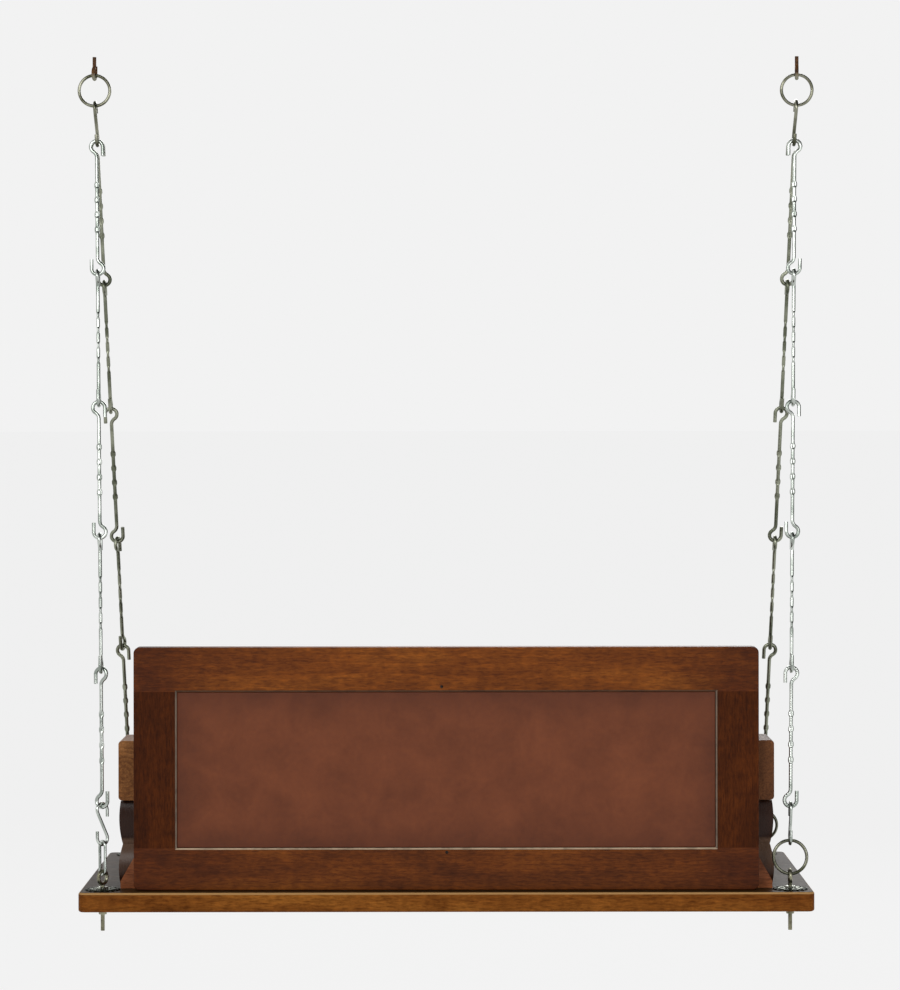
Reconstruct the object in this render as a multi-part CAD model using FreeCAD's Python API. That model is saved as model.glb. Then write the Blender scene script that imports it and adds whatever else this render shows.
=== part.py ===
import FreeCAD, Part
import math
import os

# Jhoola swing: a wooden bench seat with a leather panelled back, hung on four chains
# of hooked iron rods from two ceiling hooks. Millimetres, +Z up, +X to the right seen
# from behind, +Y forward. The origin is halfway between the tops of the ceiling hooks.

Vector = FreeCAD.Vector
UP = Vector(0, 0, 1)
FORWARD = Vector(0, 1, 0)
RIGHTWARD = Vector(1, 0, 0)

# Hanging points and the seat's place under them
HOOK_SPACING = 1212.0
SEAT_FORWARD = 62.0
BOARD_TOP = -1413.4
SLACK = 0.3
OPEN_PIVOT_SLACK = 1.5

# Seat board
BOARD_WIDTH = 1228.0
BOARD_DEPTH = 560.0
BOARD_THICK = 33.0
BOARD_CORNER = 12.0
EASED_EDGE = 4.0
PLANK_COUNT = 4
BOLT_FROM_SIDE = {"rear": 38.0, "front": 46.0}
BOLT_FROM_EDGE = 38.0

# Ceiling hooks, top rings and the links under them
HOOK_WIRE = 3.2
HOOK_LOOP = 9.5
HOOK_NECK = 6.0
HOOK_TIP = 13.0
HOOK_LOW = 37.8
HOOK_TURN = 6.5
RING_WIRE = 2.75
TOP_RING_LOOP = 26.4
TOP_LINK_WIRE = 3.0
TOP_LINK_LOOP = 12.0
TOP_LINK_LENGTH = 74.3
TOP_LINK_TIP = 6.0
PAIR_OFFSET = 3.6
PAIR_INWARD = 4.0

# Hooked rods, five to a chain, each with four pressed flats; the front chains' rods
# differ a little in length, and sum to the same
ROD_WIRE = 3.2
ROD_LOOP = 10.3
ROD_NECK = 12.0
ROD_TIP = 16.0
RODS_PER_CHAIN = 5
ROD_EXTRA = {"rear": (0.0, 0.0, 0.0, 0.0, 0.0), "front": (20.0, 0.0, 9.0, -29.0, 0.0)}
FLAT_COUNT = 4
FLAT_PITCH = 26.0
FLAT_LENGTH = 12.0
FLAT_HALF_WIDTH = 4.65
FLAT_HALF_THICK = 2.25

# Lower fittings of a chain
S_HOOK_WIRE = 2.75
S_HOOK_LOOP = 10.75
S_HOOK_LENGTH = 68.5
S_HOOK_TIP = 11.0
LINK_INSIDE = 50.0
OVAL_WIRE = 2.5
OVAL_LOOP = 8.2
OVAL_PLAY = 0.8

# Turn of each piece's plane about its chain, rods from the top; linked bends
# cross at 68 degrees or more, so that their wires stay clear of each other
ROD_TURNS = {
    "rear_left": (0, 90, 0, 88, 156),
    "front_left": (0, 90, 180, 75, 350),
    "rear_right": (180, 90, 0, 90, 180),
    "front_right": (180, 90, 180, 90, 180),
}
S_HOOK_TURNS = {"rear_left": 44, "front_left": 90, "rear_right": 90, "front_right": 90}
LINK_TURNS = {"rear_left": 128, "front_left": 0, "rear_right": 0, "front_right": 0}
EYE_TURNS = {"rear_left": 57, "front_left": 90, "rear_right": 90, "front_right": 90}

# Eyebolts with their rosettes, washers and nuts
EYE_WIRE = 3.0
EYE_LOOP = 11.0
EYE_HEIGHT = 21.0
SHANK_RADIUS = 3.25
SHANK_BELOW = 35.0
SHANK_HOLE = 3.6
ROSETTE_RADIUS = 30.0
ROSETTE_BASE = 2.2
ROSETTE_RIM = 1.8
ROSETTE_BOSS = 8.0
ROSETTE_BOSS_HIGH = 5.0
PETAL_COUNT = 8
PETAL_RADIUS = 7.0
PETAL_RING = 18.5
WASHER_RADIUS = 8.0
WASHER_THICK = 1.6
NUT_FLATS = 11.5
NUT_HEIGHT = 6.0

# Back frame, measured up from the board and in from its rear edge
BACK_HALF_WIDTH = 523.0
BACK_REAR = 25.0
BACK_THICK = 30.0
BACK_GAP = 0.6
BACK_TOP = 407.0
OPENING_HALF_WIDTH = 451.0
OPENING_LOW = 71.0
OPENING_HIGH = 332.5
ARRIS = 2.5
BACK_CORNER = 10.0
BACK_EASE = 1.5
TENON_THICK = 10.0
TENON_DEPTH = 30.0
TENON_SHOULDER = 12.0
CORE_THICK = 8.0
CORE_TONGUE = 8.0
REAR_PAD_RECESS = 2.2
REAR_PAD_CROWN = 1.2
FRONT_PAD_EDGE = 8.0
FRONT_PAD_CROWN = 14.0
FRONT_PAD_DRAWN_IN = 3.0
PAD_END_CROWN = 0.12
PEG_RADIUS = 6.0
PEG_DEPTH = 22.0
PEG_PLACES = (-420.0, -140.0, 140.0, 420.0)
SCREW_RADIUS = 2.6
SCREW_DEPTH = 12.0
SCREW_PROUD = 0.4
TOP_SCREW = (-7.5, 341.0)
LOW_SCREW = (0.8, 64.0)

# Arms, measured in from the board's rear edge and up from its top
ARM_OUTER = 551.0
ARM_WIDTH = 70.0
ARM_REAR = 55.0
ARM_LOW = 148.0
ARM_HIGH = 248.0
ARM_EASE = 6.0
POST_OUTER = 551.5
POST_WIDTH = 66.0
POST_SHADOW_GAP = 3.0
POST_NECK_INSET = 7.0
POST_NECK_SHORTER = 13.0
POST_NECK_DEPTH = 18.0
WEDGE_INNER = 490.0
WEDGE_OUTER = 548.0
WEDGE_THICK = 9.0
WEDGE_HIGH = 56.0
WEDGE_TOE = 12.0
DOWEL_RADIUS = 5.0
DOWEL_HALF_LENGTH = 22.0
POST_SCREW_RADIUS = 2.5
POST_SCREW_HEAD = 5.0
POST_SCREW_LENGTH = 65.0

BOARD_BOTTOM = BOARD_TOP - BOARD_THICK
BOARD_REAR = SEAT_FORWARD - BOARD_DEPTH / 2
HALF_SPACING = HOOK_SPACING / 2
BOLT_X = {end: BOARD_WIDTH / 2 - inset for end, inset in BOLT_FROM_SIDE.items()}
BOLT_Y = BOARD_DEPTH / 2 - BOLT_FROM_EDGE
SIDES = {"left": -1, "right": 1}
ENDS = {"rear": -1, "front": 1}

os.makedirs("parts", exist_ok=True)


def save(name, *solids):
    """Write one sub-part; a group of like solids shares one file."""
    shape = solids[0] if len(solids) == 1 else Part.makeCompound(list(solids))
    shape.exportStep("parts/" + name + ".step")
    return shape


def on_seat(x, y, z):
    """A point given in from the board's rear edge and up from its top."""
    return Vector(x, BOARD_REAR + y, BOARD_TOP + z)


def block(x, y, z):
    """A box between two values on each axis, in the seat's own measures."""
    corner = on_seat(min(x), min(y), min(z))
    return Part.makeBox(max(x) - min(x), max(y) - min(y), max(z) - min(z), corner)


def upright(shape, x, y, z=0.0):
    """A copy of a shape modelled on the Z axis, moved to a place on the seat."""
    moved = shape.copy()
    moved.translate(on_seat(x, y, z))
    return moved


def mirrored(shape, side):
    """The shape itself on the right side, its mirror image on the left."""
    return shape if side > 0 else shape.mirror(Vector(0, 0, 0), RIGHTWARD)


def bent_wire(start, heading, moves, wire):
    """Round wire bent in the X-Z plane. A move is a straight length, or a bend
    as (radius, degrees), positive to the left. Both ends are cut square."""
    point = Vector(start[0], 0, start[1])
    angle = math.radians(heading)
    first = Vector(math.cos(angle), 0, math.sin(angle))
    edges = []
    for move in moves:
        ahead = Vector(math.cos(angle), 0, math.sin(angle))
        if isinstance(move, tuple):
            radius, degrees = move
            turn = math.radians(degrees)
            side = math.copysign(1.0, turn)
            centre = point + Vector(-ahead.z, 0, ahead.x) * radius * side
            stops = []
            for share in (0.5, 1.0):
                swung = angle + turn * share
                stops.append(centre - Vector(-math.sin(swung), 0, math.cos(swung)) * radius * side)
            edges.append(Part.Arc(point, stops[0], stops[1]).toShape())
            point = stops[1]
            angle += turn
        else:
            edges.append(Part.LineSegment(point, point + ahead * move).toShape())
            point = point + ahead * move
    begin = Vector(start[0], 0, start[1])
    profile = Part.Wire(Part.makeCircle(wire, begin, first))
    return Part.Wire(edges).makePipeShell([profile], True, False)


def neck_drop(loop, neck):
    """How far below the loop's centre its neck comes back onto the rod's line."""
    return math.sqrt(loop * loop + 2 * loop * neck)


def hook_moves(loop, neck, tip):
    """From the tip round the loop and back through the neck onto the rod's line."""
    back = math.degrees(math.atan2(neck_drop(loop, neck), neck))
    return [tip, (loop, 180 + back), (neck, -back)]


def s_link(length, loop, wire, tip):
    """An S of round wire; the top bend's centre line is at z = 0."""
    apart = length - 2 * loop
    cross = math.degrees(math.asin(2 * loop / apart))
    middle = math.sqrt(apart * apart - 4 * loop * loop)
    moves = [tip, (loop, 180 + cross), middle, (loop, -180 - cross), tip]
    return bent_wire((loop, -loop - tip), 90, moves, wire)


def ring(loop, wire):
    """A ring in the X-Z plane; its top wire centre is at z = 0."""
    return Part.makeTorus(loop, wire, Vector(0, 0, -loop), FORWARD)


def oval_link(inside, loop, wire):
    """A long link in the X-Z plane; its top wire centre is at z = 0."""
    length = inside + 2 * wire
    halves = []
    for turn in (0, 180):
        straight = length / 2 - loop
        moves = [straight, (loop, 180), straight]
        half = bent_wire((loop, -length / 2), 90, moves, wire)
        half.rotate(Vector(0, 0, -length / 2), FORWARD, turn)
        halves.append(half)
    return halves[0].fuse(halves[1])


def pressed_flat(top):
    """One pinch of the rod: round wire squeezed wide in the hooks' plane."""
    sections = []
    for drop, squeezed in ((0.0, False), (0.3, True), (0.7, True), (1.0, False)):
        outline = Part.makeCircle(ROD_WIRE)
        if squeezed:
            outline = Part.Ellipse(Vector(0, 0, 0), FLAT_HALF_WIDTH, FLAT_HALF_THICK).toShape()
        section = Part.Wire(outline)
        section.translate(Vector(0, 0, top - drop * FLAT_LENGTH))
        sections.append(section)
    return Part.makeLoft(sections, True, True)


def hooked_rod(length):
    """A rod with an open hook at each end, turned opposite ways in one plane."""
    inset = ROD_LOOP + neck_drop(ROD_LOOP, ROD_NECK)
    start = (ROD_LOOP, -ROD_LOOP - ROD_TIP)
    upper = bent_wire(start, 90, hook_moves(ROD_LOOP, ROD_NECK, ROD_TIP) + [1.0], ROD_WIRE)
    lower = upper.copy()
    lower.rotate(Vector(0, 0, -length / 2), FORWARD, 180)
    pieces = [lower]
    level = -inset
    for place in range(FLAT_COUNT):
        middle = -length / 2 + FLAT_PITCH * ((FLAT_COUNT - 1) / 2 - place)
        top = middle + FLAT_LENGTH / 2
        pieces.append(Part.makeCylinder(ROD_WIRE, level - top, Vector(0, 0, top)))
        pieces.append(pressed_flat(top))
        level = top - FLAT_LENGTH
    pieces.append(Part.makeCylinder(ROD_WIRE, level + length - inset, Vector(0, 0, inset - length)))
    return upper.multiFuse(pieces)


def hang(shape, point, upward, turn):
    """Place a chain piece: its Z axis along the chain, turned about that axis."""
    across = RIGHTWARD - upward * RIGHTWARD.dot(upward)
    across.normalize()
    rotation = FreeCAD.Rotation(across, upward.cross(across), upward, "ZXY")
    placed = shape.copy()
    placed.Placement = FreeCAD.Placement(point, rotation.multiply(FreeCAD.Rotation(UP, turn)))
    return placed


# Ceiling hooks: bent from rod, with the shank on the load's line
hook_shank = HOOK_LOW - HOOK_LOOP - neck_drop(HOOK_LOOP, HOOK_NECK)
hook_bends = hook_moves(HOOK_LOOP, HOOK_NECK, HOOK_TIP) + [hook_shank]
hook_shape = bent_wire((HOOK_LOOP, -HOOK_LOOP - HOOK_TIP), 90, hook_bends, HOOK_WIRE)
hook_shape.rotate(Vector(0, 0, 0), RIGHTWARD, 180)
hook_shape.translate(Vector(0, 0, -HOOK_LOW))
RING_TOP = -HOOK_LOW + HOOK_WIRE + RING_WIRE + SLACK
RING_BOTTOM = RING_TOP - 2 * TOP_RING_LOOP
LINK_TOP = RING_BOTTOM + RING_WIRE + TOP_LINK_WIRE + SLACK
LINK_BOTTOM = LINK_TOP - TOP_LINK_LENGTH
for name, side in SIDES.items():
    hook = hook_shape.copy()
    hook.rotate(Vector(0, 0, 0), UP, 90 - HOOK_TURN)
    hook.translate(Vector(side * HALF_SPACING, 0, 0))
    save("ceiling_hook_" + name, hook)
    top_ring = ring(TOP_RING_LOOP, RING_WIRE)
    top_ring.translate(Vector(side * HALF_SPACING, 0, RING_TOP))
    save("top_ring_" + name, top_ring)
    extra = OPEN_PIVOT_SLACK - SLACK if name == "right" else 0.0
    link = s_link(TOP_LINK_LENGTH + extra, TOP_LINK_LOOP, TOP_LINK_WIRE, TOP_LINK_TIP)
    lean = Vector(side * PAIR_INWARD, 0, TOP_LINK_LENGTH).normalize()
    link_top = Vector(side * HALF_SPACING, 0, RING_TOP - TOP_RING_LOOP)
    link_top -= lean * (RING_TOP - TOP_RING_LOOP - LINK_TOP - extra)
    save("top_link_" + name, hang(link, link_top, lean, 90))

# Chains: the first rods of the rear and front chains share the top link's lower bend
seat_in_bend = TOP_LINK_LOOP - TOP_LINK_WIRE - ROD_WIRE - SLACK
PAIR_LEVEL = LINK_BOTTOM + TOP_LINK_LOOP - math.sqrt(seat_in_bend ** 2 - PAIR_OFFSET ** 2)
EYE_CENTRE = BOARD_TOP + EYE_HEIGHT
ROD_STEP_LOSS = 2 * ROD_WIRE + SLACK
FITTING_LOSS = ROD_WIRE + S_HOOK_WIRE + SLACK + S_HOOK_WIRE + SLACK + EYE_WIRE + SLACK - EYE_LOOP


def chain_line(side, end_name):
    """The first rod's top bend, the eyebolt's centre and the length between."""
    end = ENDS[end_name]
    top = Vector(side * (HALF_SPACING - PAIR_INWARD), end * PAIR_OFFSET, PAIR_LEVEL)
    foot = Vector(side * BOLT_X[end_name], SEAT_FORWARD + end * BOLT_Y, EYE_CENTRE)
    return top, foot, (foot - top).Length


def rods_and_losses(rod_length, s_length):
    """The length of chain that five rods and the lower fittings make up."""
    rods = RODS_PER_CHAIN * rod_length - (RODS_PER_CHAIN - 1) * ROD_STEP_LOSS
    return rods + s_length + LINK_INSIDE - FITTING_LOSS


rear_length = chain_line(1, "rear")[2]
front_length = chain_line(1, "front")[2]
ROD_LENGTH = (rear_length - rods_and_losses(0.0, S_HOOK_LENGTH)) / RODS_PER_CHAIN
S_LENGTHS = {"rear": S_HOOK_LENGTH, "front": S_HOOK_LENGTH + front_length - rear_length}
ROD_LENGTHS = {end: [ROD_LENGTH + extra for extra in ROD_EXTRA[end]] for end in ENDS}
s_shapes = {end: s_link(S_LENGTHS[end], S_HOOK_LOOP, S_HOOK_WIRE, S_HOOK_TIP) for end in ENDS}
low_ring = ring(LINK_INSIDE / 2 + RING_WIRE, RING_WIRE)
long_link = oval_link(LINK_INSIDE + OVAL_PLAY, OVAL_LOOP, OVAL_WIRE)
LOW_LINKS = {
    "left": ("oval_link_", long_link, OVAL_WIRE),
    "right": ("lower_ring_", low_ring, RING_WIRE),
}
for side_name, side in SIDES.items():
    for end_name in ENDS:
        chain = end_name + "_" + side_name
        top, foot, length = chain_line(side, end_name)
        upward = (top - foot).normalize()
        point = top
        for number, rod_length in enumerate(ROD_LENGTHS[end_name]):
            turn = ROD_TURNS[chain][number]
            save("rod_%s_%d" % (chain, number + 1), hang(hooked_rod(rod_length), point, upward, turn))
            low_bend = point - upward * rod_length
            point = low_bend + upward * ROD_STEP_LOSS
        s_top = low_bend + upward * (ROD_WIRE + S_HOOK_WIRE + SLACK)
        save("s_hook_" + chain, hang(s_shapes[end_name], s_top, upward, S_HOOK_TURNS[chain]))
        s_low = s_top - upward * S_LENGTHS[end_name]
        name, shape, wire = LOW_LINKS[side_name]
        link_top = s_low + upward * (S_HOOK_WIRE + wire + SLACK)
        save(name + chain, hang(shape, link_top, upward, LINK_TURNS[chain]))

# Eyebolts through the board, each with a cast rosette above and a washer and nut below
eye = Part.makeTorus(EYE_LOOP, EYE_WIRE, Vector(0, 0, EYE_HEIGHT), RIGHTWARD)
shank_top = EYE_HEIGHT - EYE_LOOP
shank_low = -BOARD_THICK - SHANK_BELOW
eye_shank = Part.makeCylinder(SHANK_RADIUS, shank_top - shank_low, Vector(0, 0, shank_low))
eyebolt = eye.fuse(eye_shank)
bolt_hole = Part.makeCylinder(SHANK_HOLE, BOARD_THICK + 40, Vector(0, 0, -BOARD_THICK - 20))
plate = Part.makeCylinder(ROSETTE_RADIUS, ROSETTE_BASE)
rim = Part.makeTorus(ROSETTE_RADIUS - ROSETTE_RIM, ROSETTE_RIM, Vector(0, 0, ROSETTE_BASE))
boss = Part.makeCone(ROSETTE_BOSS + 2, ROSETTE_BOSS, ROSETTE_BOSS_HIGH)
petals = []
for number in range(PETAL_COUNT):
    angle = 2 * math.pi * number / PETAL_COUNT
    place = Vector(math.cos(angle), math.sin(angle), 0) * PETAL_RING
    petal = Part.makeSphere(PETAL_RADIUS, place + Vector(0, 0, ROSETTE_BASE + 1.8 - PETAL_RADIUS))
    petals.append(petal)
rosette = plate.multiFuse([rim, boss] + petals)
rosette = rosette.cut(bolt_hole).cut(Part.makeBox(80, 80, 20, Vector(-40, -40, -20)))
washer = Part.makeCylinder(WASHER_RADIUS, WASHER_THICK, Vector(0, 0, -BOARD_THICK - WASHER_THICK))
washer = washer.cut(bolt_hole)
corners = []
for number in range(7):
    angle = math.pi * number / 3
    corners.append(Vector(math.cos(angle), math.sin(angle), 0) * NUT_FLATS / math.sqrt(3))
nut = Part.Face(Part.makePolygon(corners)).extrude(Vector(0, 0, -NUT_HEIGHT))
nut.translate(Vector(0, 0, -BOARD_THICK - WASHER_THICK))
nut = nut.cut(Part.makeCylinder(SHANK_RADIUS, 60, Vector(0, 0, -BOARD_THICK - 30)))
bolt_places = {}
for side_name, side in SIDES.items():
    for end_name, end in ENDS.items():
        place = (side * BOLT_X[end_name], BOARD_DEPTH / 2 + end * BOLT_Y)
        bolt_places[end_name + "_" + side_name] = place
eyebolts = []
for name, place in bolt_places.items():
    turned = eyebolt.copy()
    turned.rotate(Vector(0, 0, 0), UP, EYE_TURNS[name] - 90)
    eyebolts.append(upright(turned, *place))
save("eyebolts", *eyebolts)
save("rosettes", *[upright(rosette, *place) for place in bolt_places.values()])
save("bolt_washers", *[upright(washer, *place) for place in bolt_places.values()])
save("bolt_nuts", *[upright(nut, *place) for place in bolt_places.values()])

# Back frame: rails run the full width, stiles stand between them with tenons
BACK_FRONT = BACK_REAR + BACK_THICK
BACK_MIDDLE = BACK_REAR + BACK_THICK / 2
PAD_BACK = BACK_MIDDLE - CORE_THICK / 2
PAD_FRONT = BACK_MIDDLE + CORE_THICK / 2
across = (-BACK_HALF_WIDTH, BACK_HALF_WIDTH)
depth = (BACK_REAR, BACK_FRONT)
panel_grow = OPENING_HALF_WIDTH + CORE_TONGUE
core_panel = block(
    (-panel_grow, panel_grow),
    (PAD_BACK, PAD_FRONT),
    (OPENING_LOW - CORE_TONGUE, OPENING_HIGH + CORE_TONGUE),
)


def opening_outline(y, grow):
    """The rim of the back's opening, a little larger where the arris is cut."""
    wide = OPENING_HALF_WIDTH + grow
    low = OPENING_LOW - grow
    high = OPENING_HIGH + grow
    rim_points = [(-wide, low), (wide, low), (wide, high), (-wide, high), (-wide, low)]
    return Part.makePolygon([on_seat(x, y, z) for x, z in rim_points])


def arris_cut(face, inward):
    """The bevel that breaks the opening's edge on one face of the frame."""
    outlines = [opening_outline(face, ARRIS), opening_outline(face + inward * ARRIS, 0.0)]
    return Part.makeLoft(outlines, True, True)


def eased(shape, radius, chosen):
    """The shape with the chosen edges rounded."""
    return shape.makeFillet(radius, [edge for edge in shape.Edges if chosen(edge)])


def runs_along(edge, axis):
    """True where a straight edge lies along the axis."""
    ends = [vertex.Point for vertex in edge.Vertexes]
    if len(ends) < 2:
        return False
    line = (ends[1] - ends[0]).normalize()
    return abs(line.dot(axis)) > 0.999


arrises = [arris_cut(BACK_REAR, 1), arris_cut(BACK_FRONT, -1)]
top_rail = block(across, depth, (OPENING_HIGH, BACK_TOP))
top_level = BOARD_TOP + BACK_TOP
top_rail = eased(
    top_rail,
    BACK_CORNER,
    lambda edge: runs_along(edge, FORWARD) and abs(edge.CenterOfMass.z - top_level) < 1,
)
top_rail = eased(
    top_rail,
    BACK_EASE,
    lambda edge: edge.BoundBox.ZMax > top_level - BACK_CORNER - 1
    and edge.BoundBox.YLength < 1
    and not runs_along(edge, UP),
)
low_rail = block(across, depth, (BACK_GAP, OPENING_LOW))
low_rail = eased(
    low_rail,
    BACK_CORNER,
    lambda edge: runs_along(edge, FORWARD) and abs(edge.CenterOfMass.z - BOARD_TOP - BACK_GAP) < 1,
)
low_rail = eased(low_rail, BACK_EASE, lambda edge: runs_along(edge, UP))
stiles = {}
for name, side in SIDES.items():
    wide = (side * OPENING_HALF_WIDTH, side * BACK_HALF_WIDTH)
    stile = block(wide, depth, (OPENING_LOW, OPENING_HIGH))
    stile = eased(
        stile,
        BACK_EASE,
        lambda edge: runs_along(edge, UP) and abs(edge.CenterOfMass.x) > BACK_HALF_WIDTH - 1,
    )
    tenon = block(
        (side * (OPENING_HALF_WIDTH + TENON_SHOULDER), side * (BACK_HALF_WIDTH - TENON_SHOULDER)),
        (BACK_MIDDLE - TENON_THICK / 2, BACK_MIDDLE + TENON_THICK / 2),
        (OPENING_LOW - TENON_DEPTH, OPENING_HIGH + TENON_DEPTH),
    )
    stiles[name] = stile.fuse(tenon)

pegs = []
peg = Part.makeCylinder(PEG_RADIUS, 2 * PEG_DEPTH + BACK_GAP, Vector(0, 0, -PEG_DEPTH))
for place in PEG_PLACES:
    pegs.append(upright(peg, place, BACK_MIDDLE))
screws = []
screw = Part.makeCylinder(SCREW_RADIUS, SCREW_DEPTH, Vector(0, 0, 0), FORWARD)
for place, level in (TOP_SCREW, LOW_SCREW):
    screws.append(upright(screw, place, BACK_REAR - SCREW_PROUD, level))
dowels = []
dowel = Part.makeCylinder(DOWEL_RADIUS, 2 * DOWEL_HALF_LENGTH, Vector(0, -DOWEL_HALF_LENGTH, 0), FORWARD)
for side in SIDES.values():
    for level in (ARM_LOW + 25, ARM_HIGH - 25):
        dowels.append(upright(dowel, side * 500, BACK_FRONT + 2, level))
dowel_group = Part.makeCompound(dowels)
low_rail = low_rail.cut(Part.makeCompound(pegs)).cut(screws[1])
top_rail = top_rail.cut(screws[0])
for name, rail in (("back_top_rail", top_rail), ("back_bottom_rail", low_rail)):
    rail = rail.cut(core_panel)
    for cutter in arrises + list(stiles.values()):
        rail = rail.cut(cutter)
    save(name, rail)
for name, stile in stiles.items():
    stile = stile.cut(core_panel).cut(dowel_group)
    for cutter in arrises:
        stile = stile.cut(cutter)
    save("back_stile_" + name, stile)
save("back_core_panel", core_panel.cut(Part.makeCompound(screws)))
save("back_pegs", *pegs)
save("panel_screws", *screws)
save("arm_dowels", *dowels)


def pad_section(x, half_height, base, edge, crown):
    """One slice across a leather pad: flat behind, short sides, crowned face."""
    middle = (OPENING_LOW + OPENING_HIGH) / 2
    low = middle - half_height
    high = middle + half_height
    points = [on_seat(x, base, low), on_seat(x, edge, low), on_seat(x, edge + crown, middle),
              on_seat(x, edge, high), on_seat(x, base, high)]
    edges = [Part.LineSegment(points[0], points[1]).toShape(),
             Part.Arc(points[1], points[2], points[3]).toShape(),
             Part.LineSegment(points[3], points[4]).toShape(),
             Part.LineSegment(points[4], points[0]).toShape()]
    return Part.Wire(edges)


def leather_pad(base, edge, crown, drawn_in):
    """A pad that is fullest in the middle and drawn in between its corners."""
    slices = []
    half_height = (OPENING_HIGH - OPENING_LOW) / 2
    for share in (-1.0, -0.7, 0.0, 0.7, 1.0):
        swell = 1.0 - abs(share) ** 3
        tall = half_height - drawn_in * swell
        rise = crown * (PAD_END_CROWN + (1 - PAD_END_CROWN) * swell)
        slices.append(pad_section(share * OPENING_HALF_WIDTH, tall, base, edge, rise))
    return Part.makeLoft(slices, True, False)


rear_edge = BACK_REAR + REAR_PAD_RECESS + REAR_PAD_CROWN
front_edge = PAD_FRONT + FRONT_PAD_EDGE
save("leather_pad_rear", leather_pad(PAD_BACK, rear_edge, -REAR_PAD_CROWN, 0.0))
save("leather_pad_front", leather_pad(PAD_FRONT, front_edge, FRONT_PAD_CROWN, FRONT_PAD_DRAWN_IN))

# Arms: one rest, a rear post, a front post and a wedge foot each side
UNDERSIDE_FRONT = 165.0
ARM_OUTLINE = [
    ((ARM_REAR, ARM_LOW), (160.0, ARM_LOW)),
    ((160.0, ARM_LOW), (196.0, 152.0), (230.0, UNDERSIDE_FRONT - 2)),
    ((230.0, UNDERSIDE_FRONT - 2), (486.0, UNDERSIDE_FRONT)),
    ((486.0, UNDERSIDE_FRONT), (511.0, 189.0), (486.0, 213.0)),
    ((486.0, 213.0), (300.0, 232.0)),
    ((300.0, 232.0), (240.0, 240.0), (176.0, ARM_HIGH)),
    ((176.0, ARM_HIGH), (ARM_REAR, ARM_HIGH)),
    ((ARM_REAR, ARM_HIGH), (ARM_REAR, ARM_LOW)),
]
# Each edge of a post, bottom to top: in from its widest, then up from the board
POSTS = {
    "rear": (ARM_LOW, 66.5, 164.0),
    "front": (UNDERSIDE_FRONT - 0.4, 388.0, 480.0),
}
POST_EDGE = [(6.0, 0.0), (0.0, 28.0), (15.0, 70.0), (4.0, 108.0), (8.0, 142.0)]
POST_SIDE = [(3.5, 0.0), (0.0, 34.0), (5.5, 70.0), (0.5, 108.0), (2.5, 142.0)]


def outline_face(strokes):
    """A flat face inside an outline of straight lines and arcs."""
    edges = []
    for points in strokes:
        curve = Part.LineSegment(*points) if len(points) == 2 else Part.Arc(*points)
        edges.append(curve.toShape())
    return Part.Face(Part.Wire(Part.__sortEdges__(edges)))


def side_profile(strokes, outer, width):
    """A solid with the side outline, given its width along X."""
    placed = [[on_seat(outer - width, y, z) for y, z in stroke] for stroke in strokes]
    return outline_face(placed).extrude(Vector(width, 0, 0))


def moulded_outline(near, far, edge, level):
    """Two like edges that face each other: two swellings with a crease between."""
    scale = level / edge[-1][1]
    strokes = []
    for place, inward in ((near, 1), (far, -1)):
        foot, belly, crease, shoulder, head = [
            (place + inward * inset, height * scale) for inset, height in edge
        ]
        strokes += [(foot, belly, crease), (crease, shoulder, head)]
    foot_line = (strokes[0][0], strokes[2][0])
    head_line = (strokes[1][-1], strokes[3][-1])
    return strokes + [foot_line, head_line]


def arm_post(top, back, front):
    """A post moulded on all four sides, with a set-back neck that enters the arm."""
    level = top - POST_SHADOW_GAP
    inner = POST_OUTER - POST_WIDTH
    body = side_profile(moulded_outline(back, front, POST_EDGE, level), POST_OUTER, POST_WIDTH)
    rear_view = moulded_outline(inner, POST_OUTER, POST_SIDE, level)
    rear_view = outline_face([[on_seat(x, back - 1, z) for x, z in stroke] for stroke in rear_view])
    body = body.common(rear_view.extrude(Vector(0, front - back + 2, 0)))
    neck = block(
        (inner + POST_NECK_INSET, POST_OUTER - POST_NECK_INSET),
        (back + POST_NECK_SHORTER, front - POST_NECK_SHORTER),
        (level - 1, top + POST_NECK_DEPTH),
    )
    return body.fuse(neck)


arm_rest = side_profile(ARM_OUTLINE, ARM_OUTER, ARM_WIDTH)
arm_back = BOARD_REAR + ARM_REAR
arm_rest = eased(
    arm_rest,
    ARM_EASE,
    lambda edge: edge.BoundBox.XLength < 1 and edge.BoundBox.YMax > arm_back + 1,
)
posts = {name: arm_post(*sizes) for name, sizes in POSTS.items()}
post_screws = []
post_screw = Part.makeCylinder(POST_SCREW_RADIUS, POST_SCREW_LENGTH, Vector(0, 0, -BOARD_THICK))
screw_head = Part.makeCone(POST_SCREW_HEAD, POST_SCREW_RADIUS, 3.0, Vector(0, 0, -BOARD_THICK))
post_screw = post_screw.fuse(screw_head)
for side in SIDES.values():
    for level, back, front in POSTS.values():
        for share in (0.3, 0.7):
            y = back + (front - back) * share
            post_screws.append(upright(post_screw, side * (POST_OUTER - POST_WIDTH / 2), y))
screw_group = Part.makeCompound(post_screws)
wedge_points = [(WEDGE_INNER, 0), (WEDGE_OUTER, 0), (WEDGE_OUTER, WEDGE_TOE),
                (BACK_HALF_WIDTH, WEDGE_HIGH), (WEDGE_INNER, WEDGE_HIGH), (WEDGE_INNER, 0)]
wedge = Part.Face(Part.makePolygon([on_seat(x, BACK_FRONT + 1, z) for x, z in wedge_points]))
wedge = wedge.extrude(Vector(0, WEDGE_THICK, 0))
for name, side in SIDES.items():
    arm = mirrored(arm_rest.cut(posts["rear"]).cut(posts["front"]), side)
    save("arm_rest_" + name, arm.cut(dowel_group))
    for place in ENDS:
        save("arm_post_%s_%s" % (place, name), mirrored(posts[place], side).cut(screw_group))
save("wedge_feet", *[mirrored(wedge, side) for side in SIDES.values()])
save("post_screws", *post_screws)

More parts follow.
